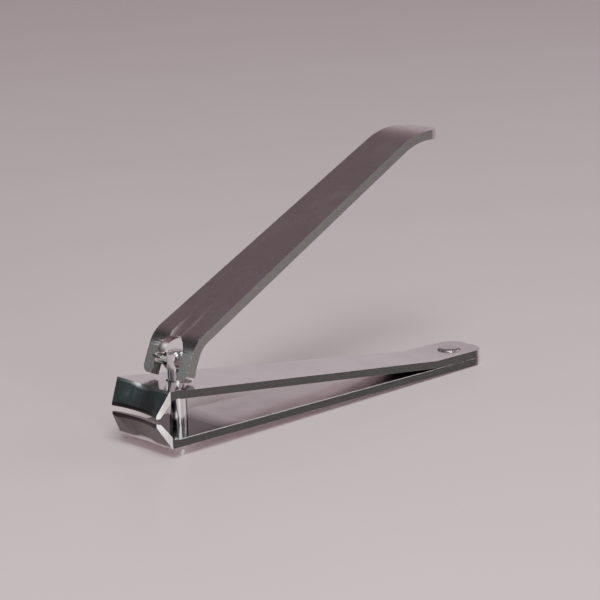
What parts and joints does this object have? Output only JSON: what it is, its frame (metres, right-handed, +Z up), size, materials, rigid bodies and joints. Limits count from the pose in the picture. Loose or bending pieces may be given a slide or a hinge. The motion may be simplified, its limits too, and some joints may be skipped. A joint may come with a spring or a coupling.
{
  "type": "nail clipper",
  "caption": "Lever-type metal nail clipper: sprung blades with curved cutting jaws, a swivelling post and a press lever.",
  "frame": {"origin": "centre of the post's foot, on the table", "axes": "+X along the body to the tail, +Y across the body, +Z up along the post"},
  "size_m": [0.0559, 0.01, 0.0324],
  "materials": {
    "lower_blade": "polished, ground jaw face",
    "upper_blade": "polished, ground jaw face",
    "tail_rivet": "polished",
    "post": "turned and polished",
    "lever_pin": "drawn wire",
    "lever": "satin polished"
  },
  "bodies": {
    "lower_body": {"lower_blade": "lower_blade"},
    "upper_body": {"upper_blade": "upper_blade", "tail_rivet": "tail_rivet"},
    "post_body": {"post": "post", "lever_pin": "lever_pin"},
    "lever_body": {"lever": "lever"}
  },
  "joints": [
    {"name": "jaw_close", "type": "hinge", "parent": "lower_body", "child": "upper_body", "pos_m": [0.04, 0, 0.0013], "axis": [0, -1, 0], "range_deg": [0, 0.9]},
    {"name": "post_swivel", "type": "hinge", "parent": "lower_body", "child": "post_body", "pos_m": [0, 0, 0], "axis": [0, 0, 1], "range_deg": [-180, 180]},
    {"name": "lever_press", "type": "hinge", "parent": "post_body", "child": "lever_body", "pos_m": [-0.00045, 0, 0.01041], "axis": [0, 1, 0], "range_deg": [0, 26], "stiffness_Nm_per_rad": 0.06}
  ],
  "couplings": [
    {"joint": "jaw_close", "follows": "lever_press", "ratio": 0.0315}
  ]
}
